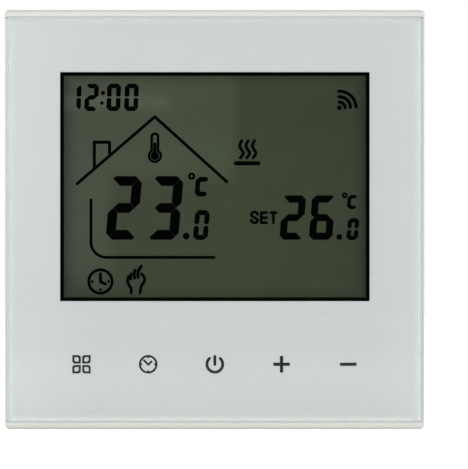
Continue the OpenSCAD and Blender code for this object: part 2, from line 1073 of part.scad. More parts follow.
// Bent yoke with the round core riveted to it
module relay_yoke() {
    yoke_w = 9;
    color(steel) {
        block([pivot_x - yoke_t, relay_floor - yoke_t, relay_z - yoke_w / 2],
            [coil_x + 4, relay_floor, relay_z + yoke_w / 2]);
        block([pivot_x - yoke_t, pivot_y + 0.4, relay_z - yoke_w / 2],
            [pivot_x, relay_floor, relay_z + yoke_w / 2]);
        post(coil_x, relay_z, core_r, pole_y, relay_floor - yoke_t);
        post(coil_x, relay_z, pole_head_r, pole_y, pole_y + pole_head_t);
    }
}

module relay_coil() {
    coil_front = pole_y + pole_head_t + 0.05;
    coil_back = relay_floor - yoke_t - 0.05;
    color(copper)
        difference() {
            union() {
                post(coil_x, relay_z, 4, coil_front, coil_back);
                for (y = [coil_front, coil_back - 0.6])
                    post(coil_x, relay_z, 4.6, y, y + 0.6);
            }
            post(coil_x, relay_z, core_r + 0.05, coil_front - cut, coil_back + cut);
        }
}

// Armature plate that rocks on the yoke's edge
module relay_armature() {
    armature_w = 9;
    color(steel)
        block([pivot_x - yoke_t, armature_back - armature_t, relay_z - armature_w / 2],
            [coil_x + 4, armature_back, relay_z + armature_w / 2]);
}

module contact_spring() {
    blade_t = 0.2;
    blade_w = 4;
    color(copper) {
        block([pivot_x + 2, armature_back - armature_t - blade_t, relay_z - blade_w / 2],
            [contact_x + 1.5, armature_back - armature_t, relay_z + blade_w / 2]);
        post(contact_x, relay_z, 1.1, armature_back - armature_t, armature_back);
    }
}

module relay_contacts() {
    post_t = 0.6;
    contact_back = armature_back + contact_gap;
    color(copper) {
        post(contact_x, relay_z, 1.1, contact_back, contact_back + 0.5);
        block([contact_x - 1.2, contact_back + 0.4, relay_z - 2],
            [contact_x + 1.5, contact_back + 0.4 + post_t, relay_z + 2]);
        block([contact_x + 1.5 - post_t, contact_back + 0.4, relay_z - 2],
            [contact_x + 1.5, relay_floor, relay_z + 2]);
    }
}

// ---- Base unit: terminals ----

module terminal_pocket(x) {
    pocket_w = cage_w + 2 * loose;
    pocket_l = cage_l + 2 * loose;
    block([x - pocket_w / 2, cage_front - loose, clamp_z - pocket_l / 2],
        [x + pocket_w / 2, pocket_back, clamp_z + pocket_l / 2]);
    post(x, clamp_z, screw_r + run_fit, pocket_back - cut, block_back + cut);
    post(x, clamp_z, head_r + run_fit, head_front - run_fit, block_back + cut);
    translate([x, entry_y, block_low - cut])
        cylinder(r = entry_r, h = clamp_z - block_low);
    block([x - strip_w / 2 - loose, power_back - cut, clamp_z],
        [x + strip_w / 2 + loose, strip_y + strip_t + loose, block_high - 0.7]);
}

module terminal_block() {
    groove = 0.6;
    color([0.16, 0.42, 0.30])
        difference() {
            block([-block_w / 2, power_back, block_low], [block_w / 2, block_back, block_high]);
            for (i = [0:poles - 1])
                terminal_pocket(pole_x(i));
            for (i = [1:poles - 1])
                block([pole_x(i) - pole_pitch / 2 - groove / 2, block_back - 1.5, block_low - cut],
                    [pole_x(i) - pole_pitch / 2 + groove / 2, block_back + cut, block_high + cut]);
        }
}

// Fixed strips that the wires are clamped against, with tails through the power board
module terminal_strips() {
    tail_t = 0.7;
    tail_high = block_high - 0.9;
    color(brass)
        for (i = [0:poles - 1]) {
            block([pole_x(i) - strip_w / 2, strip_y, clamp_z - cage_l / 2],
                [pole_x(i) + strip_w / 2, strip_y + strip_t, tail_high]);
            block([pole_x(i) - strip_w / 2, power_front - 0.8, tail_high - tail_t],
                [pole_x(i) + strip_w / 2, strip_y + strip_t, tail_high]);
        }
}

// Cage that rises with its screw and lifts the wire against the strip
module clamp_cage(i) {
    x = pole_x(i);
    color(steel)
        difference() {
            block([x - cage_w / 2, cage_front, clamp_z - cage_l / 2],
                [x + cage_w / 2, cage_front + cage_h, clamp_z + cage_l / 2]);
            block([x - cage_window / 2, cage_front + cage_floor, clamp_z - cage_l / 2 - cut],
                [x + cage_window / 2, cage_front + cage_floor + cage_window, clamp_z + cage_l / 2 + cut]);
            post(x, clamp_z, screw_r + run_fit, cage_front + cage_floor, cage_front + cage_h + cut);
        }
}

module terminal_screw(i) {
    x = pole_x(i);
    tip_y = strip_y + strip_t + 0.3;
    color(steel) {
        post(x, clamp_z, screw_r, tip_y, head_front + 0.1);
        difference() {
            post(x, clamp_z, head_r, head_front, head_front + head_t);
            translate([x, head_front + head_t, clamp_z])
                cube([2 * head_r + cut, 1.4, 0.7], center = true);
        }
    }
}

front_bezel();
cover_glass();
print_layer();
window_border();
key_symbols();
glass_tape();
lcd_front_polariser();
lcd_front_glass();
lcd_rear_glass();
lcd_rear_polariser();
lcd_pins();
lcd_frame();
light_guide();
reflector_sheet();
backlight_leds();
display_pcb();
display_screws();
control_chip();
clock_crystal();
backup_cell();
wireless_board();
wireless_shield();
room_sensor();
touch_springs();
header_plug();
header_pins();
mounting_plate();
back_box();
base_cover();
base_screws();
power_pcb();
transformer_core();
transformer_coil();
relay_cover();
relay_base();
relay_coil();
relay_yoke();
relay_armature();
contact_spring();
relay_contacts();
smoothing_capacitors();
mains_capacitor();
varistor();
fuse();
header_socket();
terminal_block();
terminal_strips();
clamp_cage(0);  // clamp_cage_1
clamp_cage(1);  // clamp_cage_2
clamp_cage(2);  // clamp_cage_3
clamp_cage(3);  // clamp_cage_4
clamp_cage(4);  // clamp_cage_5
clamp_cage(5);  // clamp_cage_6
terminal_screw(0);  // terminal_screw_1
terminal_screw(1);  // terminal_screw_2
terminal_screw(2);  // terminal_screw_3
terminal_screw(3);  // terminal_screw_4
terminal_screw(4);  // terminal_screw_5
terminal_screw(5);  // terminal_screw_6
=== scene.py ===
"""Looks of the wall timer: display segments, board details, materials, light and camera.

The CAD frame gives every place. Lengths are millimetres until they pass through MM.
X runs to the right, Z up, and the front faces -Y.
"""
import json
import math

import bmesh
import bpy
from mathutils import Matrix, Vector


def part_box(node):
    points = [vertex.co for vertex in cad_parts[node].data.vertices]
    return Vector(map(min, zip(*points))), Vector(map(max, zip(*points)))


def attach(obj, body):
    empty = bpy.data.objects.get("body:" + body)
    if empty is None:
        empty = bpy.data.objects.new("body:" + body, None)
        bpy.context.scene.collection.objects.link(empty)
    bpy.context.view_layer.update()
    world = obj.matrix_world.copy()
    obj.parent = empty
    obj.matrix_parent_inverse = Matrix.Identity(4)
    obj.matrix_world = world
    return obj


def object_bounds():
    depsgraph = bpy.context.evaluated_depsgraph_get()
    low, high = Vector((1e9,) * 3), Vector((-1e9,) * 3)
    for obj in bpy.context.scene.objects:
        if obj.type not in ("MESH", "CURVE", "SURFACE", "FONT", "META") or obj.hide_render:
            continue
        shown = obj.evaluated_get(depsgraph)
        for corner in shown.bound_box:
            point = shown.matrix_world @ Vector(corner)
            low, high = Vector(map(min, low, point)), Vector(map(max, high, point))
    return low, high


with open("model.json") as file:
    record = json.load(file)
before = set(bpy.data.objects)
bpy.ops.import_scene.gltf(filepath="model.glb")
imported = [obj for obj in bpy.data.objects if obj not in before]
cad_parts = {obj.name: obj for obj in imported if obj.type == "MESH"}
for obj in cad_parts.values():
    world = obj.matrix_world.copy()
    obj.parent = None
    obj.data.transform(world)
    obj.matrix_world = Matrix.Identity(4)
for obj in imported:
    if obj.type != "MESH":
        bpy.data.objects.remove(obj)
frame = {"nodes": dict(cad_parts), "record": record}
CAD_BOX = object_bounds()
NODES = frame["nodes"]
MM = 0.001
SCENE = bpy.context.scene


def middle(node):
    low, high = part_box(node)
    return (low + high) / 2


def corners_mm(node):
    """Lowest and highest corner of a node, in mm."""
    return [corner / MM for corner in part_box(node)]


# ---------------------------------------------------------------- node graphs

# Most values of a noise texture lie between these two
NOISE_LOW, NOISE_HIGH = 0.3, 0.7


class Graph:
    """A material's node tree with short helpers. Texture space is the row frame, in metres."""

    def __init__(self, name):
        self.material = bpy.data.materials.new(name)
        self.material.use_nodes = True
        self.tree = self.material.node_tree
        self.tree.nodes.clear()
        self.output = self.tree.nodes.new("ShaderNodeOutputMaterial")
        self.place = self.tree.nodes.new("ShaderNodeTexCoord").outputs["Object"]

    def node(self, kind, inputs=None, **settings):
        made = self.tree.nodes.new(kind)
        for key, value in settings.items():
            setattr(made, key, value)
        for key, value in (inputs or {}).items():
            self.feed(made.inputs[key], value)
        return made

    def feed(self, socket, value):
        if isinstance(value, bpy.types.NodeSocket):
            self.tree.links.new(value, socket)
        elif isinstance(value, (tuple, list)) and socket.type == "RGBA" and len(value) == 3:
            socket.default_value = (*value, 1)
        else:
            socket.default_value = value

    def math(self, operation, a, b=0.0):
        return self.node("ShaderNodeMath", {0: a, 1: b}, operation=operation).outputs[0]

    def axis(self, letter):
        return self.node("ShaderNodeSeparateXYZ", {0: self.place}).outputs[letter]

    def distance(self, letter, place):
        """How far a point is from a place along one axis."""
        return self.math("ABSOLUTE", self.math("SUBTRACT", self.axis(letter), place))

    def noise(self, scale, detail=3.0, stretch=None):
        place = self.place
        if stretch:
            place = self.node("ShaderNodeMapping", {"Vector": place, "Scale": stretch}).outputs[0]
        made = self.node("ShaderNodeTexNoise", {"Vector": place, "Scale": scale, "Detail": detail})
        return made.outputs["Fac"]

    def span(self, value, low, high, to_low=0.0, to_high=1.0, kind="LINEAR"):
        made = self.node("ShaderNodeMapRange", {0: value, 1: low, 2: high, 3: to_low, 4: to_high})
        made.clamp = True
        made.interpolation_type = kind
        return made.outputs[0]

    def spread(self, noise, low, high):
        return self.span(noise, NOISE_LOW, NOISE_HIGH, low, high)

    def mix(self, share, a, b, blend="MIX"):
        made = self.node("ShaderNodeMix", data_type="RGBA", blend_type=blend)
        self.feed(made.inputs["Factor"], share)
        self.feed(made.inputs["A"], a)
        self.feed(made.inputs["B"], b)
        return made.outputs["Result"]

    def blend(self, share, a, b):
        """Mixes two shaders. A share of 1 gives b."""
        return self.node("ShaderNodeMixShader", {0: share, 1: a, 2: b}).outputs[0]

    def relief(self, height, depth, edge=0.0):
        """Bumps up to a depth in mm, over edges rounded by edge mm."""
        inputs = {"Height": height, "Strength": 1.0, "Distance": depth * MM}
        if edge:
            rounded = self.node("ShaderNodeBevel", {"Radius": edge * MM}, samples=4)
            inputs["Normal"] = rounded.outputs[0]
        return self.node("ShaderNodeBump", inputs).outputs[0]

    def principled(self, **inputs):
        names = {key.replace("_", " "): value for key, value in inputs.items()}
        return self.node("ShaderNodeBsdfPrincipled", names).outputs[0]

    def backfacing(self):
        return self.node("ShaderNodeNewGeometry").outputs["Backfacing"]

    def ray(self, kind):
        return self.node("ShaderNodeLightPath").outputs[kind]

    def finish(self, shader):
        self.feed(self.output.inputs["Surface"], shader)
        return self.material


def shade(colour, factor):
    return tuple(min(1.0, channel * factor) for channel in colour)


def moulded(name, colour, rough=0.45, grain=2600.0, depth=0.006, edge=0.25, drift=0.04):
    """Moulded plastic: fine spark-eroded grain, slow colour drift and softly rounded edges."""
    g = Graph(name)
    tint = g.mix(g.noise(60.0, 2.0), shade(colour, 1 - drift), shade(colour, 1 + drift))
    fine = g.noise(grain, 4.0)
    roughness = g.spread(fine, rough - 0.06, rough + 0.06)
    normal = g.relief(fine, depth, edge)
    return g.finish(g.principled(Base_Color=tint, Roughness=roughness, Normal=normal))


def plated(name, colour, rough=0.3, along="X", edge=0.12):
    """Rolled and plated metal with faint brushing along one axis."""
    g = Graph(name)
    stretch = tuple(2.0 if letter == along else 60.0 for letter in "XYZ")
    lines = g.noise(40.0, 4.0, stretch)
    tint = g.mix(g.noise(350.0), shade(colour, 0.9), shade(colour, 1.06))
    roughness = g.spread(lines, rough - 0.08, rough + 0.12)
    normal = g.relief(lines, 0.004, edge)
    return g.finish(g.principled(Base_Color=tint, Metallic=1.0, Roughness=roughness, Normal=normal))


def solder_skin():
    """Solder with a bright, slightly frosted skin."""
    g = Graph("solder")
    frost = g.noise(2500.0)
    tint = g.mix(frost, (0.70, 0.71, 0.72), (0.86, 0.87, 0.88))
    roughness = g.spread(frost, 0.16, 0.36)
    normal = g.relief(frost, 0.01)
    return g.finish(g.principled(Base_Color=tint, Metallic=1.0, Roughness=roughness, Normal=normal))


def board_plane(g):
    """The X-Z plane of a board as texture coordinates."""
    join = g.node("ShaderNodeCombineXYZ", {0: g.axis("X"), 1: g.axis("Z")})
    return join.outputs[0]


def board_tracks(g, plane):
    """Copper under the lacquer, from 0 to 1: thin tracks in some places and faint poured areas in others."""
    unit, track, pitch, run = 6.25, 0.3, 1.4, 11.0
    ways = g.node("ShaderNodeTexBrick", {
        "Vector": plane, "Color1": (1, 1, 1), "Color2": (0, 0, 0), "Mortar": (0.5, 0.5, 0.5),
        "Scale": 1 / (unit * MM), "Mortar Size": track / 2 / unit, "Brick Width": run / unit,
        "Row Height": pitch / unit}, offset=0.37).outputs
    routed = g.span(g.noise(75.0, 1.0), 0.46, 0.50)
    tracks = g.math("MULTIPLY", ways["Fac"], routed)
    poured = g.math("MULTIPLY", g.span(ways["Color"], 0.7, 0.8), g.span(routed, 0.0, 1.0, 1.0, 0.0))
    return g.math("MAXIMUM", tracks, g.math("MULTIPLY", poured, 0.3))


def board_holes(g, plane):
    """1 at small through-plated holes, which stand in a few areas of the board."""
    cells = g.node("ShaderNodeTexVoronoi", {"Vector": plane, "Scale": 420.0, "Randomness": 0.35})
    few = g.span(g.noise(140.0, 0.0), 0.55, 0.6)
    return g.math("MULTIPLY", g.span(cells.outputs["Distance"], 0.11, 0.15, 1.0, 0.0), few)


def solder_mask(name, colour, trace):
    """Circuit board lacquer over copper, with through-plated holes."""
    g = Graph(name)
    plane = board_plane(g)
    copper, holes = board_tracks(g, plane), board_holes(g, plane)
    mottled = g.mix(g.noise(900.0), shade(colour, 0.9), shade(colour, 1.1))
    tint = g.mix(holes, g.mix(copper, mottled, trace), (0.72, 0.72, 0.70))
    normal = g.relief(g.math("ADD", g.math("MULTIPLY", copper, 0.5), holes), 0.02)
    return g.finish(g.principled(Base_Color=tint, Metallic=holes, Roughness=0.32, Normal=normal))


# ---------------------------------------------------------------- front materials

def edge_room(g, node):
    """How far a point is in from the sides of a node, and from its top and bottom."""
    low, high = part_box(node)
    centre, half = (low + high) / 2, (high - low) / 2
    from_side = g.math("SUBTRACT", half.x, g.distance("X", centre.x))
    from_end = g.math("SUBTRACT", half.z, g.distance("Z", centre.z))
    return from_side, from_end


def edge_share(g, node, width):
    """0 over the face of a node, rising to 1 at its left, right, top and bottom edges."""
    inside = g.math("MINIMUM", *edge_room(g, node))
    return g.span(inside, 0.0, width * MM, 1.0, 0.0)


def clear_pane(g, tint, roughness, swirl):
    """Clear solid seen as a thin pane. It reflects only where a ray enters it."""
    clear = g.node("ShaderNodeBsdfTransparent", {"Color": tint}).outputs[0]
    shine = g.node("ShaderNodeBsdfGlossy", {"Color": (1, 1, 1), "Roughness": roughness}).outputs[0]
    facing = g.node("ShaderNodeFresnel", {"IOR": 1.5}).outputs[0]
    entering = g.math("SUBTRACT", 1.0, g.backfacing())
    share = g.math("MULTIPLY", g.math("MULTIPLY", facing, entering), swirl)
    return g.blend(share, clear, shine)


def cover_glass():
    """Clear pane. Its bevelled rim looks pale green, as thick float glass does; the rim is drawn as an
    opaque band, whose paleness is a painted highlight of light caught in the bevel.
    """
    g = Graph("cover_glass")
    rim_width, rim_strength = 1.1, 0.88
    smear = g.span(g.noise(45.0, 2.0), 0.35, 0.65, 0.8, 1.0)
    pane = clear_pane(g, (0.992, 0.998, 0.995), 0.02, smear)
    # Painted highlight: the rim's own pale green, made lighter to stand for light caught in the bevel
    rim_green_and_highlight = g.mix(g.noise(300.0), (0.82, 0.865, 0.845), (0.89, 0.925, 0.91))
    rim = g.principled(Base_Color=rim_green_and_highlight, Roughness=0.12)
    passing = g.math("MAXIMUM", g.backfacing(), g.ray("Is Shadow Ray"))
    solid = g.span(passing, 0.0, 1.0, rim_strength, 0.0)
    share = g.math("MULTIPLY", edge_share(g, "cover_glass", rim_width), solid)
    return g.finish(g.blend(share, pane, rim))


def pale_print():
    """Pale grey print behind the glass. Painted light makes it lighter towards its sides. Under the glass
    rim it is greenish, as the glass edge tints it, and painted lighter to offset the shade of the bezel
    wall.
    """
    g = Graph("pale_print")
    base = (0.626, 0.638, 0.642)
    painted_light_left_reach, painted_light_right_reach, rim_width = 17, 9, 1.8
    tint = g.mix(g.noise(35.0, 2.0), shade(base, 0.992), shade(base, 1.008))
    low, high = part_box("print_layer")
    # Painted light: the print turns lighter towards its left side, where the key lamp falls, and a little
    # lighter towards its right side
    painted_light_from_left = g.span(g.axis("X"), low.x, low.x + painted_light_left_reach * MM, 1.0, 0.0)
    painted_light_from_right = g.span(g.axis("X"), high.x - painted_light_right_reach * MM, high.x, 0.0, 0.6)
    tint = g.mix(g.math("MAXIMUM", painted_light_from_left, painted_light_from_right), tint, shade(base, 1.08))
    # Greenish, as the glass rim above tints it, and lighter as painted light that offsets the shade of the
    # bezel wall
    tint = g.mix(edge_share(g, "print_layer", rim_width), tint, (0.725, 0.775, 0.755))
    normal = g.relief(g.noise(5000.0, 2.0), 0.002)
    return g.finish(g.principled(Base_Color=tint, Roughness=0.6, Normal=normal))


def flat_black(name, grain, low, high, rough):
    """Black without a shine, in a fine grain of two depths."""
    g = Graph(name)
    tint = g.mix(g.noise(grain), low, high)
    return g.finish(g.principled(Base_Color=tint, Roughness=rough, Specular_IOR_Level=0.0))


def black_print():
    return flat_black("black_print", 1500.0, (0.0005, 0.0005, 0.0005), (0.002, 0.002, 0.002), 0.7)


def segment_black():
    return flat_black("segment_black", 2500.0, (0.0002, 0.0003, 0.0002), (0.0012, 0.0014, 0.0012), 0.8)


# Painted reflection on the display: right edge, low edge and how soft each one is, from the display's centre
PAINTED_REFLECTION_PATCHES = ((4.0, 1.8, 1.3, 2.6), (-21.5, -18.2, 2.2, 4.0))


def soft_step(g, letter, place, soft, to_low, to_high):
    """Smooth change from one value to another across a place on one axis. place is in metres."""
    return g.span(g.axis(letter), place - soft * MM, place + soft * MM, to_low, to_high, "SMOOTHSTEP")


def painted_reflection_share(g, centre):
    """1 where a painted reflection lightens the upper left of the display, else 0."""
    total = 0.0
    for right, low, soft_x, soft_z in PAINTED_REFLECTION_PATCHES:
        across = soft_step(g, "X", centre.x + right * MM, soft_x, 1.0, 0.0)
        up = soft_step(g, "Z", centre.z + low * MM, soft_z, 0.0, 1.0)
        total = g.math("MAXIMUM", total, g.math("MULTIPLY", across, up))
    return total


def painted_top_light(g, centre):
    """Painted light near the top of the display: painted shade makes it a little darker, but for a faint
    painted light band behind the clock.
    """
    band_z, band_flat, band_half, band_lift = 17.4, 0.2, 2.6, 0.29
    band_right, band_soft = -9.1, 1.9
    dim_from, dim_to, dim = 7.0, 12.5, 0.935
    off_middle = g.distance("Z", centre.z + band_z * MM)
    painted_light_band = g.span(off_middle, band_flat * MM, band_half * MM, band_lift, 0.0, "SMOOTHSTEP")
    reach = soft_step(g, "X", centre.x + band_right * MM, band_soft, 1.0, 0.0)
    top = g.span(g.axis("Z"), centre.z + dim_from * MM, centre.z + dim_to * MM, 1.0, dim)
    return g.math("ADD", top, g.math("MULTIPLY", painted_light_band, reach))


def olive_ramp(g, low, high):
    """Colour of the display ground under the painted reflection, from its left to its right edge."""
    ramp = g.node("ShaderNodeValToRGB", {"Fac": g.span(g.axis("X"), low, high)})
    stops = ((0.0, (0.0650, 0.0760, 0.0520)), (0.15, (0.0660, 0.0790, 0.0495)),
             (0.5, (0.0621, 0.0790, 0.0468)), (0.8, (0.0590, 0.0743, 0.0436)),
             (1.0, (0.0552, 0.0676, 0.0420)))
    elements = ramp.color_ramp.elements
    while len(elements) < len(stops):
        elements.new(0.5)
    for element, (where, colour) in zip(elements, stops):
        element.position = where
        element.color = (*colour, 1)
    return ramp.outputs["Color"]


def olive_film():
    """Reflective display ground: lighter where a painted reflection lies, with painted shade near its edges
    and painted light and shade near its top.
    """
    g = Graph("olive_film")
    window = "window_border"
    low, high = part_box(window)
    centre = middle(window)
    lit = olive_ramp(g, low.x, high.x)
    # Outside the painted reflection the ground is the same ramp, darkened to about three quarters
    unlit = g.mix(1.0, lit, (0.770, 0.765, 0.725), "MULTIPLY")
    ground = g.mix(painted_reflection_share(g, centre), unlit, lit)
    from_side, from_end = edge_room(g, window)
    # Painted shade: the ground darkens towards the window's sides and ends, where the recess behind the
    # window border shades it
    shade_near_side = g.span(from_side, 0.5 * MM, 3.6 * MM, 0.56, 1.0)
    shade_near_end = g.span(from_end, 0.3 * MM, 3.0 * MM, 0.66, 1.0)
    mottle = g.spread(g.noise(250.0), 0.965, 1.035)
    # strength carries the painted shade here and the painted light near the top, times a random mottle
    strength = g.math("MULTIPLY", g.math("MINIMUM", shade_near_side, shade_near_end), mottle)
    strength = g.math("MULTIPLY", strength, painted_top_light(g, centre))
    grey = g.node("ShaderNodeCombineColor", {0: strength, 1: strength, 2: strength}).outputs[0]
    tint = g.mix(1.0, ground, grey, "MULTIPLY")
    normal = g.relief(g.noise(4000.0), 0.002)
    return g.finish(g.principled(Base_Color=tint, Roughness=0.7, Specular_IOR_Level=0.1, Normal=normal))


def clear_sheet(name, tint):
    """Thin clear piece seen edge-on or through: mostly transparent, glossy at grazing angles."""
    g = Graph(name)
    return g.finish(clear_pane(g, tint, 0.05, g.spread(g.noise(80.0), 0.7, 1.0)))


def ivory():
    """Cream bezel plastic with a satin face."""
    return moulded("ivory_plastic", (0.705, 0.71, 0.66), rough=0.42, depth=0.004, edge=0.2, drift=0.012)


MATERIALS = {
    "ivory_plastic": ivory,
    "cover_glass": cover_glass,
    "pale_print": pale_print,
    "black_print": black_print,
    "black_tape": lambda: moulded("black_tape", (0.03, 0.03, 0.03), rough=0.9, grain=900.0, depth=0.04),
    "olive_polariser": olive_film,
    "display_glass": lambda: clear_sheet("display_glass", (0.93, 0.97, 0.95)),
    "tinned_metal": lambda: plated("tinned_metal", (0.78, 0.79, 0.80), rough=0.26),
    "white_plastic": lambda: moulded("white_plastic", (0.80, 0.81, 0.80)),
    "clear_acrylic": lambda: clear_sheet("clear_acrylic", (0.90, 0.95, 0.94)),
    "led_resin": lambda: moulded("led_resin", (0.85, 0.80, 0.45), rough=0.2),
    "board_green": lambda: solder_mask("board_green", (0.012, 0.105, 0.045), (0.035, 0.20, 0.09)),
    "board_blue": lambda: solder_mask("board_blue", (0.010, 0.016, 0.085), (0.02, 0.05, 0.20)),
    "chip_black": lambda: moulded("chip_black", (0.025, 0.025, 0.028), rough=0.6, grain=4000.0),
    "brass": lambda: plated("brass_plate", (0.80, 0.62, 0.28), rough=0.28, along="Y"),
    "copper": lambda: plated("copper_wire", (0.72, 0.33, 0.16), rough=0.35, along="Z"),
    "zinc_steel": lambda: plated("zinc_steel", (0.66, 0.68, 0.70), rough=0.34),
    "box_plastic": lambda: moulded("box_plastic", (0.66, 0.67, 0.65), rough=0.5, grain=1500.0, depth=0.02),
    "ferrite": lambda: moulded("ferrite", (0.05, 0.05, 0.055), rough=0.75, grain=1200.0, depth=0.03),
    "yellow_tape": lambda: moulded("yellow_tape", (0.82, 0.60, 0.06), rough=0.3),
    "relay_blue": lambda: moulded("relay_blue", (0.02, 0.09, 0.36), rough=0.35),
    "capacitor_sleeve": lambda: moulded("capacitor_sleeve", (0.015, 0.02, 0.08), rough=0.3),
    "capacitor_yellow": lambda: moulded("capacitor_yellow", (0.75, 0.50, 0.05), rough=0.35),
    "capacitor_tan": lambda: moulded("capacitor_tan", (0.50, 0.36, 0.22), rough=0.4, grain=6000.0),
    "solder": solder_skin,
    "varistor_blue": lambda: moulded("varistor_blue", (0.03, 0.11, 0.38), rough=0.3, grain=700.0),
    "fuse_ceramic": lambda: moulded("fuse_ceramic", (0.80, 0.79, 0.73), rough=0.25),
    "terminal_green": lambda: moulded("terminal_green", (0.02, 0.17, 0.085), rough=0.45, grain=1800.0),
    "segment_black": segment_black,
}
READY = {}


def material(slot):
    if slot not in READY:
        READY[slot] = MATERIALS[slot]()
    return READY[slot]


def dress_cad_nodes():
    slots = {row["node"]: row["material_slot"] for row in frame["record"]["subparts"]}
    for name, piece in NODES.items():
        piece.data.materials.clear()
        piece.data.materials.append(material(slots[name]))


# ---------------------------------------------------------------- flat shapes

def round_point(centre, radius, angle):
    return Vector(centre) + radius * Vector((math.cos(angle), math.sin(angle)))


def ribbon(points, width, steps=5):
    """Outline of a stroke with round ends along a smooth line through the points."""
    line = smooth_line(points) if len(points) > 2 else [Vector(p) for p in points]
    half = width / 2
    left, right = [], []
    for i, p in enumerate(line):
        before, after = line[max(i - 1, 0)], line[min(i + 1, len(line) - 1)]
        along = (after - before).normalized()
        side = Vector((-along.y, along.x)) * half
        left.append(p + side)
        right.append(p - side)
    far = round_end(line[-1], line[-1] - line[-2], half, steps)
    near = round_end(line[0], line[0] - line[1], half, steps)
    return left + far + right[::-1] + near


def round_end(tip, along, half, steps):
    start = math.atan2(along.y, along.x) + math.pi / 2
    return [round_point(tip, half, start - math.pi * (k + 1) / (steps + 1)) for k in range(steps)]


def smooth_line(points, steps=6):
    """Catmull-Rom line through the points."""
    p = [Vector(q) for q in points]
    p = [2 * p[0] - p[1]] + p + [2 * p[-1] - p[-2]]
    line = []
    for a, b, c, d in zip(p, p[1:], p[2:], p[3:]):
        for k in range(steps):
            t = k / steps
            line.append(0.5 * (2 * b + (c - a) * t + (2 * a - 5 * b + 4 * c - d) * t ** 2
                               + (3 * b - a - 3 * c + d) * t ** 3))
    return line + [p[-2]]


def joined_strokes(points, width):
    """Straight strokes that meet at sharp corners."""
    return [ribbon([a, b], width) for a, b in zip(points, points[1:])]


def disc(centre, radius, count=24):
    return [round_point(centre, radius, math.tau * k / count) for k in range(count)]


def arc_stroke(centre, radius, width, start, end, steps=16):
    """Round-ended stroke along an arc. start and end are in degrees."""
    angles = [math.radians(start + (end - start) * k / steps) for k in range(steps + 1)]
    return ribbon([round_point(centre, radius, angle) for angle in angles], width)


def ring_outlines(centre, radius, width):
    """A full ring as two half rings, so that each outline is simple."""
    return [arc_half(centre, radius, width, start) for start in (0, 180)]


def arc_half(centre, radius, width, start, steps=20):
    angles = [math.radians(start + 180 * k / steps) for k in range(steps + 1)]
    outer, inner = ([round_point(centre, edge, angle) for angle in angles]
                    for edge in (radius + width / 2, radius - width / 2))
    return outer + inner[::-1]


def slanted(outline, origin, lean):
    return [Vector((origin[0] + p[0] + lean * p[1], origin[1] + p[1])) for p in outline]


# ---------------------------------------------------------------- digits

LIT = {"0": "abcdef", "1": "bc", "2": "abged", "3": "abgcd", "6": "acdefg"}
# Ends of the top and bottom bars that meet no other bar
FREE_ENDS = {"2": ("a left", "d right"), "3": ("a left", "d left"), "6": ("a right",)}
BAR_ENDS = ("a left", "a right", "d left", "d right")


def level_bar(w, h, t, s, left, right):
    """The top bar. left and right are how far its outer corners are cut."""
    return [(left, h), (w - right, h), (w - (right + s) / 2, h - (right - s) / 2), (w - t - s, h - t),
            (t + s, h - t), ((left + s) / 2, h - (left - s) / 2)]


def digit_bars(character, width, height, bar, gap, corner, free_corner, waist_gap, tip):
    """The seven bars of one digit, upright, from its lower left corner."""
    w, h, t, c, s = width, height, bar, corner, 0.707 * gap
    m, q, e = height / 2, waist_gap / 2, tip
    free = FREE_ENDS.get(character, ())
    cut = {end: free_corner if end in free else corner for end in BAR_ENDS}
    right_high = [(w - (c - s) / 2, h - (c + s) / 2), (w, h - c), (w, m + e + q), (w - e, m + q),
                  (w - t + e, m + q), (w - t, m + e + q), (w - t, h - t - s)]
    middle_bar = [(t / 2 + s, m), (t + s, m + t / 2), (w - t - s, m + t / 2), (w - t / 2 - s, m),
                  (w - t - s, m - t / 2), (t + s, m - t / 2)]
    across = lambda outline: [(w - x, y) for x, y in reversed(outline)]
    down = lambda outline: [(x, h - y) for x, y in reversed(outline)]
    top = level_bar(w, h, t, s, cut["a left"], cut["a right"])
    bottom = down(level_bar(w, h, t, s, cut["d left"], cut["d right"]))
    return {"a": top, "d": bottom, "b": right_high, "c": down(right_high), "f": across(right_high),
            "e": across(down(right_high)), "g": middle_bar}


def digit(character, origin, width, height, bar, gap=0.03, corner=0.5, free_corner=0.5, waist_gap=0.05,
          tip=None, lean=0.091):
    """Lit bars of one digit. tip is how far the bars taper to their points at the waist."""
    tip = bar / 2 if tip is None else tip
    bars = digit_bars(character, width, height, bar, gap, corner, free_corner, waist_gap, tip)
    return [slanted(bars[name], origin, lean) for name in LIT[character]]


def letter_c(origin, width, height, bar, corner, lean=0.091):
    """Capital C with cut corners and pointed ends."""
    w, h, t, c = width, height, bar, corner
    end = t / 2
    inner = 0.35 * c
    outline = [(w - end, 0), (c, 0), (0, c), (0, h - c), (c, h), (w - end, h)]
    outline += [(w, h - t / 2), (w - end, h - t)]
    outline += [(t + inner, h - t), (t, h - t - inner), (t, t + inner), (t + inner, t)]
    outline += [(w - end, t), (w, t / 2)]
    return [slanted(outline, origin, lean)]


# ---------------------------------------------------------------- extruded pieces

def add_piece(name, bm):
    """Turns closed solids into a piece of the scene."""
    bmesh.ops.recalc_face_normals(bm, faces=bm.faces)
    mesh = bpy.data.meshes.new(name)
    bm.to_mesh(mesh)
    bm.free()
    piece = bpy.data.objects.new(name, mesh)
    SCENE.collection.objects.link(piece)
    return piece


def dress_piece(piece, slot, finish=None):
    """Gives a piece its finish and lets it ride on the display unit."""
    piece.data.materials.append(material(finish or slot))
    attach(piece, "display_unit")


def join_outlines(bm, near, far):
    """Closes a solid between two outlines of vertices."""
    bm.faces.new(near)
    bm.faces.new(far[::-1])
    for i in range(len(near)):
        k = (i + 1) % len(near)
        bm.faces.new((near[i], far[i], far[k], near[k]))


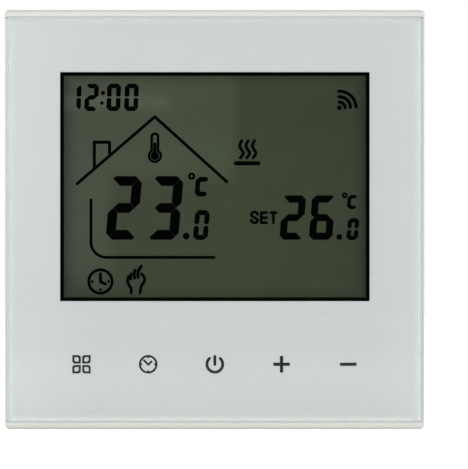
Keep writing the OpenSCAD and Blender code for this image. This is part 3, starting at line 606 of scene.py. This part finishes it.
def solid_from(outlines, front, thickness, name):
    """Closed thin solids from X-Z outlines. front is the level of their front faces, in metres."""
    bm = bmesh.new()
    for outline in outlines:
        near, far = ([bm.verts.new((p[0] * MM, level, p[1] * MM)) for p in outline]
                     for level in (front, front + thickness * MM))
        join_outlines(bm, near, far)
    return add_piece(name, bm)


# ---------------------------------------------------------------- display segments
# Places are measured from the centre of the display window

def time_of_day():
    level = 15.52
    size = {"width": 2.84, "height": 5.62, "bar": 0.96, "corner": 0.66, "free_corner": 0.75,
            "waist_gap": 0.32, "tip": 0.2, "lean": 0.04}
    shapes = []
    for character, left in (("1", -30.38), ("0", -22.28), ("0", -18.64)):
        shapes += digit(character, (left, level), **size)
    shapes += digit("2", (-26.82, level - 0.02), **{**size, "waist_gap": 0.04, "tip": 0.44})
    colon = ((-22.95, 19.22, 0.43), (-23.18, 17.15, 0.37))
    return shapes + [disc((x, z), radius) for x, z, radius in colon]


def room_temperature():
    tens, ones, point, tenths, unit, base = -22.48, -13.98, -5.88, -4.54, -4.22, -10.89
    big = {"width": 6.44, "height": 13.04, "bar": 2.01, "gap": 0.04, "corner": 1.35, "free_corner": 1.0,
           "waist_gap": 0.06}
    small = {"width": 3.02, "height": 6.12, "bar": 1.04, "corner": 0.75, "waist_gap": 0.36, "tip": 0.30}
    shapes = digit("2", (tens, base), **big) + digit("3", (ones, base), **big)
    shapes += [disc((point, base + 0.73), 0.70)]
    shapes += digit("0", (tenths, base - 0.04), **small)
    shapes += ring_outlines((unit - 0.55, 2.15), 0.50, 0.50)
    return shapes + letter_c((unit, -2.02), 2.64, 4.02, 0.98, 0.75)


def set_temperature():
    tens, ones, point, tenths, unit, base = 13.21, 19.25, 25.54, 26.94, 27.06, -10.90
    big = {"width": 4.82, "height": 9.09, "bar": 1.48, "gap": 0.02, "corner": 0.85, "free_corner": 0.65,
           "waist_gap": 0.03, "lean": 0.08}
    small = {"width": 2.35, "height": 4.48, "bar": 0.88, "corner": 0.62, "waist_gap": 0.32, "tip": 0.30}
    shapes = digit("2", (tens, base), **big) + digit("6", (ones, base), **big)
    shapes += [disc((point, base + 0.58), 0.60)]
    shapes += digit("0", (tenths, base - 0.06), **small)
    shapes += ring_outlines((unit - 0.42, -1.78), 0.40, 0.42)
    return shapes + letter_c((unit, -4.60), 1.92, 2.91, 0.72, 0.6)


def set_word():
    """The word over which the set temperature stands, in plain strokes."""
    base, cap, line = -7.69, 2.64, 0.56
    low, high, waist = base + line / 2, base + cap - line / 2, base + cap / 2
    stem, bar_end, post, left_arm, right_arm = 9.53, 10.62, 12.02, 11.48, 12.60
    letter_s = [(8.80, -5.74), (8.44, -5.24), (7.78, -5.28), (7.46, -5.82), (8.08, -6.33), (8.78, -6.86),
                (8.50, -7.36), (7.82, -7.36), (7.43, -6.86)]
    strokes = [[(x, low), (x, high)] for x in (stem, post)] + [[(left_arm, high), (right_arm, high)]]
    strokes += [[(stem, level), (bar_end, level)] for level in (low, waist, high)]
    return [ribbon(letter_s, line)] + [ribbon(stroke, line) for stroke in strokes]


def house():
    roof = joined_strokes([(-28.27, 0.61), (-12.31, 14.34), (2.45, 1.00)], 0.64)
    chimney = joined_strokes([(-24.73, 3.69), (-24.73, 9.11), (-21.61, 9.11), (-21.61, 6.93)], 0.66)
    left, floor_z, bend, line, wall_top, floor_end = -25.43, -14.52, 3.20, 0.60, -2.70, -0.15
    wall = ribbon([(left, wall_top), (left, floor_z + bend)], line)
    corner = arc_stroke((left + bend, floor_z + bend), bend, line, 180, 270)
    ground = ribbon([(left + bend, floor_z), (floor_end, floor_z)], line)
    return roof + chimney + [wall, corner, ground]


def thermometer():
    x, bulb_z, neck, shoulder = -12.31, 6.32, 7.28, 10.22
    line, tube, bulb, filling, column, column_top = 0.52, 0.65, 1.22, 0.87, 0.66, 8.76
    open_angle = math.degrees(math.asin(tube / bulb))
    walls = [ribbon([(x + side, neck), (x + side, shoulder)], line) for side in (-tube, tube)]
    return walls + [
        arc_stroke((x, shoulder), tube, line, 0, 180),
        arc_stroke((x, bulb_z), bulb, line, 90 + open_angle, 450 - open_angle),
        disc((x, bulb_z), filling),
        ribbon([(x, bulb_z), (x, column_top)], column),
    ]


def heat_waves():
    bar_x, bar_half, bar_z, pitch = 6.64, 2.33, 4.79, 1.30
    bar = ribbon([(bar_x - bar_half, bar_z), (bar_x + bar_half, bar_z)], 0.87)
    wave = [(5.54, 9.44), (5.08, 8.40), (5.43, 7.62), (5.85, 6.85), (5.23, 5.88)]
    return [bar] + [ribbon([(x + pitch * k, z) for x, z in wave], 0.60) for k in range(3)]


def wireless_waves():
    x, dot_z, arc_z, dot, line = 25.55, 16.20, 16.15, 0.50, 0.67
    arcs = [arc_stroke((x, arc_z), radius, line, 92, 3) for radius in (1.18, 2.30, 3.43)]
    return [disc((x, dot_z), dot)] + arcs


def clock_face():
    centre = Vector((-23.49, -19.47))
    rim, minute_reach, mark_reach, mark = 2.40, 1.56, 1.68, 0.29
    hour_tip = (1.15 * math.cos(math.radians(-27.6)), 1.12 * math.sin(math.radians(-27.6)))
    shapes = ring_outlines(centre, rim, 0.61)
    shapes.append(ribbon([centre + Vector((0, minute_reach)), centre], 0.66))
    shapes.append(ribbon([centre, centre + Vector(hour_tip)], 0.64))
    return shapes + [disc(round_point(centre, mark_reach, math.radians(a)), mark) for a in (0, 180, 270)]


def hand_sign():
    line = 0.62
    palm = [(-17.74, -18.46), (-17.92, -19.40), (-17.62, -20.22), (-17.16, -20.96), (-17.18, -21.80)]
    thumb = [(-15.08, -17.90), (-14.54, -18.55), (-14.44, -19.36), (-15.08, -20.39), (-15.35, -21.75)]
    first = [(-17.22, -17.92), (-17.27, -18.95)]
    second = [(-16.38, -17.16), (-16.56, -17.95), (-16.46, -18.76)]
    pointing = [(-15.10, -16.31), (-15.60, -17.10), (-15.80, -17.95), (-15.72, -18.62)]
    return [ribbon(points, line) for points in (palm, thumb, first, second, pointing)]


def display_segments():
    """Each group of segments sits just in front of the display's front polariser."""
    centre = middle("window_border") / MM
    thickness, clearance = 0.03, 0.01
    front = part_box("lcd_front_polariser")[0].y - (thickness + clearance) * MM
    groups = {
        "segments_time": time_of_day, "segments_room_temperature": room_temperature,
        "segments_set_temperature": set_temperature, "segments_set_word": set_word,
        "segments_house": house, "segments_thermometer": thermometer, "segments_heat": heat_waves,
        "segments_wireless": wireless_waves, "segments_clock": clock_face, "segments_hand": hand_sign,
    }
    for name, draw in groups.items():
        shapes = [[(p[0] + centre.x, p[1] + centre.z) for p in outline] for outline in draw()]
        dress_piece(solid_from(shapes, front, thickness, name), "black_print", "segment_black")


# ---------------------------------------------------------------- parts on the control board

QUARTER = math.pi / 2
SMALL_CHIP, MEDIUM_CHIP = (1.6, 0.8, 0.5), (2.0, 1.25, 0.9)  # length, width, height
TRANSISTORS_X = (15.0, 20.0, 25.0)
SUPPLY_Z = 9.0


class BoardPiece:
    """One piece made of small solids that stand on the back face of the control board."""

    def __init__(self, name, slot, finish=None):
        self.name, self.slot, self.finish = name, slot, finish
        self.level = corners_mm("display_pcb")[1].y
        self.bm = bmesh.new()

    def point(self, spot, turn, along, across, up):
        c, s = math.cos(turn), math.sin(turn)
        place = (spot[0] + c * along - s * across, self.level + up, spot[1] + s * along + c * across)
        return self.bm.verts.new(Vector(place) * MM)

    def prism(self, profile, width, spot, turn=0.0, aside=0.0):
        """Carries an (along, up) profile across a width. aside shifts it across."""
        near, far = ([self.point(spot, turn, along, aside + half, up) for along, up in profile]
                     for half in (-width / 2, width / 2))
        join_outlines(self.bm, near, far)

    def dome(self, profile, spot, count=16):
        """Turns a (radius, up) profile round the board's normal."""
        turns = [math.tau * k / count for k in range(count)]
        rings = [[self.point(spot, turn, radius, 0, up) for turn in turns] for radius, up in profile]
        for low, high in zip(rings, rings[1:]):
            for k in range(count):
                j = (k + 1) % count
                self.bm.faces.new((low[k], low[j], high[j], high[k]))
        self.bm.faces.new(rings[0][::-1])
        self.bm.faces.new(rings[-1])

    def place(self):
        dress_piece(add_piece(self.name, self.bm), self.slot, self.finish)


def spot_of(node):
    """Middle of a node, as (x, z) in mm."""
    place = middle(node) / MM
    return place.x, place.z


def display_pin_places():
    low, high = corners_mm("lcd_pins")
    count, pin_width, above_foot = 20, 0.5, 0.15
    pitch = (high.x - low.x - pin_width) / (count - 1)
    return [(low.x + pin_width / 2 + k * pitch, low.z + above_foot) for k in range(count)]


def key_spring_places():
    """Where the touch springs stand behind the five keys."""
    low, high = corners_mm("key_symbols")
    count, inset = 5, 2.0
    pitch = (high.x - low.x - 2 * inset) / (count - 1)
    return [(low.x + inset + k * pitch, (low.z + high.z) / 2) for k in range(count)]


def chip_part(body, ends, spot, size, turn=QUARTER):
    """Ceramic part: a body between two tinned ends, each with a solder fillet."""
    length, width, height = size
    half, cap, skin, soft = length / 2, 0.22 * length, 0.02, 0.06
    core = half - cap
    body.prism([(-core, skin), (-core, height), (core, height), (core, skin)], width, spot, turn)
    end = [(core, 0), (core, height + skin), (half - soft, height + skin), (half, height - soft),
           (half + 0.06, 0.6 * height), (half + 0.2, 0.25 * height), (half + 0.45, 0)]
    for side in (0, math.pi):
        ends.prism(end, width + 2 * skin, spot, turn + side)


def gull_part(body, legs, spot, size, near_legs, far_legs, turn=0.0):
    """Moulded package with bent legs. Each leg is (aside, width). size is length, width, height."""
    length, width, height = size
    w, rise, lift, t, draft = width / 2, 0.45 * height, 0.05, 0.12, 0.12
    case = [(-w + draft, lift), (-w, rise), (-w + draft, height),
            (w - draft, height), (w, rise), (w - draft, lift)]
    body.prism(case, length, spot, turn)
    leg = [(w - 0.05, rise), (w + 0.25, rise), (w + 0.37, t), (w + 0.75, t), (w + 0.95, 0),
           (w + 0.27, 0), (w + 0.15, rise - t), (w - 0.05, rise - t)]
    for side, row in ((0, near_legs), (math.pi, far_legs)):
        for aside, leg_width in row:
            legs.prism(leg, leg_width, spot, turn + side, aside)


def ceramic_parts():
    """Rows of small capacitors and resistors above the pins, the chip, the keys and the plug."""
    capacitors = BoardPiece("ceramic_capacitors", "capacitor_yellow", "capacitor_tan")
    resistors = BoardPiece("chip_resistors", "chip_black")
    ends = BoardPiece("chip_part_ends", "tinned_metal")
    pins, above_pins = display_pin_places(), 4.9
    for x, z in pins[:9]:
        chip_part(resistors, ends, (x, z + above_pins), SMALL_CHIP)
    for x, z in pins[11::2]:
        chip_part(capacitors, ends, (x, z + above_pins), SMALL_CHIP)
    chip_x, chip_z = spot_of("control_chip")
    for k in range(6):
        chip_part(capacitors, ends, (chip_x + 2.6 * (k - 2.5), chip_z + 8.3), SMALL_CHIP)
    above_keys = corners_mm("key_symbols")[1].z + 2.4
    for x, _ in key_spring_places():
        chip_part(resistors, ends, (x + 2.6, above_keys), SMALL_CHIP)
        chip_part(capacitors, ends, (x + 4.8, above_keys), SMALL_CHIP)
    for x in TRANSISTORS_X:
        chip_part(resistors, ends, (x, -3.8), SMALL_CHIP, 0.0)
    plug_x, plug_z = spot_of("header_plug")
    for x in (-15.5, 13.5, 16.5):
        chip_part(capacitors, ends, (plug_x + x, plug_z - 6.5), MEDIUM_CHIP)
    for piece in (capacitors, resistors, ends):
        piece.place()


def moulded_parts():
    """Regulator, transistors and memory chip."""
    bodies = BoardPiece("small_packages", "chip_black")
    legs = BoardPiece("package_legs", "tinned_metal")
    regulator_legs, regulator_tab = [(-2.3, 0.7), (0, 0.7), (2.3, 0.7)], [(0, 3.0)]
    gull_part(bodies, legs, (4.5, SUPPLY_Z), (6.5, 3.5, 1.6), regulator_legs, regulator_tab)
    one_leg, two_legs = [(0, 0.4)], [(-0.95, 0.4), (0.95, 0.4)]
    for x in TRANSISTORS_X:
        gull_part(bodies, legs, (x, 0.0), (2.9, 1.3, 1.0), one_leg, two_legs, QUARTER)
    memory_legs = [(1.27 * (k - 1.5), 0.4) for k in range(4)]
    gull_part(bodies, legs, (19.0, 8.0), (4.9, 3.9, 1.5), memory_legs, memory_legs, QUARTER)
    bodies.place()
    legs.place()


def tantalum_parts():
    """Two tantalum capacitors beside the regulator, on tinned feet."""
    cases = BoardPiece("tantalum_capacitors", "capacitor_yellow")
    feet = BoardPiece("tantalum_feet", "tinned_metal")
    half, lift, top, cut = 1.75, 0.1, 1.9, 0.1
    case = [(-half, lift), (-half, top - cut), (-half + cut, top),
            (half - cut, top), (half, top - cut), (half, lift)]
    foot = [(1.2, 0), (1.2, lift), (1.76, lift), (1.76, 0.9), (1.86, 0.9), (1.92, 0.5), (2.1, 0.2), (2.5, 0)]
    for x in (-3.5, 11.0):
        cases.prism(case, 2.8, (x, SUPPLY_Z), QUARTER)
        for side in (0, math.pi):
            feet.prism(foot, 2.2, (x, SUPPLY_Z), QUARTER + side)
    cases.place()
    feet.place()


def solder_joints():
    """Solder at the pins, springs, crystal, chip and wireless board, and a row of test pads."""
    solder = BoardPiece("board_solder", "tinned_metal", "solder")
    for spot in display_pin_places():
        solder.dome([(0.85, 0), (0.62, 0.08), (0.46, 0.22), (0.38, 0.42), (0.2, 0.5)], spot)
    for spot in key_spring_places():
        solder.dome([(1.3, 0), (0.95, 0.12), (0.6, 0.38), (0.35, 0.6), (0.15, 0.66)], spot)
    crystal_x, crystal_leads_z = spot_of("clock_crystal")[0], -0.9
    for aside in (-0.6, 0.6):
        spot = (crystal_x + aside, crystal_leads_z)
        solder.dome([(0.5, 0), (0.35, 0.12), (0.2, 0.35), (0.1, 0.42)], spot, 12)
    lead = [(4.95, 0), (4.95, 0.53), (5.3, 0.53), (5.55, 0.51),
            (5.93, 0.5), (6.0, 0.25), (6.12, 0.1), (6.35, 0)]
    for quarter in range(4):
        for k in range(11):
            solder.prism(lead, 0.34, spot_of("control_chip"), quarter * QUARTER, 0.8 * (k - 5))
    lip = [(-0.7, 0.8), (-0.7, 0.84), (0.02, 0.84), (0.12, 0.5), (0.3, 0.2), (0.65, 0), (0, 0), (0, 0.8)]
    low, high = corners_mm("wireless_board")
    for x, turn in ((low.x, math.pi), (high.x, 0.0)):
        for k in range(8):
            solder.prism(lip, 0.9, (x, low.z + 1.6 + 1.5 * k), turn)
    for k in range(6):
        solder.dome([(0.8, 0), (0.8, 0.03), (0.7, 0.05)], (-10 + 4 * k, 34.5), 20)
    solder.place()


def cell_clip():
    """Sprung strip that holds the backup cell down on the board."""
    clip = BoardPiece("cell_clip", "zinc_steel")
    low, high = corners_mm("backup_cell")
    reach, top, foot, sheet = (high.z - low.z) / 2 + 0.03, high.y - clip.level + 0.02, 1.8, 0.14
    over = [(-reach - foot, 0), (-reach - 0.3, 0), (-reach, 0.3), (-reach, top),
            (reach, top), (reach, 0.3), (reach + 0.3, 0), (reach + foot, 0)]
    under = [(reach + foot, sheet), (reach + sheet + 0.25, sheet), (reach + sheet, 0.4),
             (reach + sheet, top), (reach, top + sheet), (-reach, top + sheet), (-reach - sheet, top),
             (-reach - sheet, 0.4), (-reach - sheet - 0.25, sheet), (-reach - foot, sheet)]
    clip.prism(over + under, 3.2, spot_of("backup_cell"), QUARTER)
    clip.place()


def flat_on_back(shapes, node, thickness, name, slot):
    """Thin print or track on the back face of a board."""
    dress_piece(solid_from(shapes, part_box(node)[1].y, thickness, name), slot)


def frame_lines(node, margin, line=0.2):
    low, high = corners_mm(node)
    left, right, down, up = low.x - margin, high.x + margin, low.z - margin, high.z + margin
    return joined_strokes([(left, down), (right, down), (right, up), (left, up), (left, down)], line)


def board_outlines():
    """White print round the parts of the control board, with a dot at the chip's first leg."""
    margins = {"header_plug": 0.9, "control_chip": 1.2, "clock_crystal": 0.6, "wireless_board": 0.9}
    ink = []
    for node, margin in margins.items():
        ink += frame_lines(node, margin)
    ink += ring_outlines(spot_of("backup_cell"), 5.4, 0.2)
    chip_x, chip_z = spot_of("control_chip")
    ink.append(disc((chip_x - 7.6, chip_z + 7.6), 0.4))
    flat_on_back(ink, "display_pcb", 0.02, "board_outlines", "white_plastic")


def aerial_track():
    """Folded aerial on the wireless board, above its shield."""
    low, high = corners_mm("wireless_board")
    turns, step = 8, 1.45
    left = (low.x + high.x - turns * step) / 2
    down, up = corners_mm("wireless_shield")[1].z + 1.4, high.z - 0.8
    track = []
    for k in range(turns):
        ends = (down, up) if k % 2 == 0 else (up, down)
        track += [(left + k * step, z) for z in ends]
    flat_on_back(joined_strokes(track, 0.5), "wireless_board", 0.04, "aerial_track", "brass")


# ---------------------------------------------------------------- stage, light, camera

VIEW_WIDTH = 96.1  # width of the picture at the glass
VIEW_RIGHT = 3.98  # the picture's centre, to the right of the object's centre
VIEW_DOWN = 3.07   # and below it
DISTANCE = 1.4     # metres from the glass to the camera


def floor_paper():
    """White sweep, as bright as the backdrop, so that no horizon shows. It is clear from below."""
    g = Graph("floor_paper")
    tone = g.mix(g.noise(3.0), (0.93, 0.935, 0.935), (0.95, 0.95, 0.95))
    paper = g.node("ShaderNodeBsdfDiffuse", {"Color": tone}).outputs[0]
    strength = g.math("MULTIPLY", g.ray("Is Camera Ray"), 0.85)
    lift = g.node("ShaderNodeEmission", {"Color": (1, 1, 1), "Strength": strength}).outputs[0]
    sheet = g.node("ShaderNodeAddShader", {0: paper, 1: lift}).outputs[0]
    clear = g.node("ShaderNodeBsdfTransparent").outputs[0]
    return g.finish(g.blend(g.backfacing(), sheet, clear))


def floor():
    side, gap = 6.0, 0.012  # metres
    bm = bmesh.new()
    bmesh.ops.create_grid(bm, x_segments=8, y_segments=8, size=side / 2)
    mesh = bpy.data.meshes.new("floor")
    bm.to_mesh(mesh)
    bm.free()
    sheet = bpy.data.objects.new("floor", mesh)
    sheet.location = (0, 0, CAD_BOX[0].z - gap)
    SCENE.collection.objects.link(sheet)
    mesh.materials.append(floor_paper())


def backdrop():
    """White to the camera, soft light on the object, and a dark card behind the camera in reflections."""
    world = bpy.data.worlds.new("studio")
    SCENE.world = world
    world.use_nodes = True
    tree = world.node_tree
    tree.nodes.clear()

    def light(colour, strength):
        made = tree.nodes.new("ShaderNodeBackground")
        made.inputs["Color"].default_value = (*colour, 1)
        made.inputs["Strength"].default_value = strength
        return made.outputs[0]

    def blend(share, a, b):
        made = tree.nodes.new("ShaderNodeMixShader")
        for index, source in enumerate((share, a, b)):
            tree.links.new(source, made.inputs[index])
        return made.outputs[0]

    rays = tree.nodes.new("ShaderNodeLightPath").outputs
    split = tree.nodes.new("ShaderNodeSeparateXYZ")
    tree.links.new(tree.nodes.new("ShaderNodeTexCoord").outputs["Generated"], split.inputs[0])
    card = tree.nodes.new("ShaderNodeMapRange")
    tree.links.new(split.outputs["Y"], card.inputs["Value"])
    card_edges = {"From Min": -0.93, "From Max": -0.75, "To Min": 1.0, "To Max": 0.0}
    for name, value in card_edges.items():
        card.inputs[name].default_value = value
    room = blend(card.outputs[0], light((0.95, 0.98, 1.0), 0.55), light((1, 1, 1), 0.01))
    soft = blend(rays["Is Glossy Ray"], light((0.97, 0.985, 1.0), 0.26), room)
    scene_light = blend(rays["Is Camera Ray"], soft, light((1, 1, 1), 1.0))
    tree.links.new(scene_light, tree.nodes.new("ShaderNodeOutputWorld").inputs["Surface"])


def lamps():
    for name, place, side, power in (
        ("key_light", (-0.62, -1.25, 0.38), 0.9, 11.8),
        ("fill_light", (0.75, -1.25, 0.1), 0.9, 7.0),
        ("back_light", (0.3, 1.0, 0.8), 0.8, 6.0),
    ):
        data = bpy.data.lights.new(name, "AREA")
        data.size = side
        data.energy = power
        lamp = bpy.data.objects.new(name, data)
        lamp.location = place
        lamp.rotation_euler = Vector(place).to_track_quat("Z", "Y").to_euler()
        lamp.visible_camera = False
        SCENE.collection.objects.link(lamp)


def camera():
    low, high = CAD_BOX
    centre = (low + high) / 2
    data = bpy.data.cameras.new("camera")
    data.sensor_width = 36
    data.lens = data.sensor_width * DISTANCE / (VIEW_WIDTH * MM)
    data.clip_end = 20
    eye = bpy.data.objects.new("camera", data)
    eye.location = (centre.x + VIEW_RIGHT * MM, low.y - DISTANCE, centre.z - VIEW_DOWN * MM)
    eye.rotation_euler = (math.radians(90), 0, 0)
    SCENE.collection.objects.link(eye)
    SCENE.camera = eye


dress_cad_nodes()
display_segments()
ceramic_parts()
moulded_parts()
tantalum_parts()
solder_joints()
cell_clip()
board_outlines()
aerial_track()
floor()
backdrop()
lamps()
camera()
SCENE.view_settings.view_transform = "Standard"
SCENE.view_settings.look = "None"
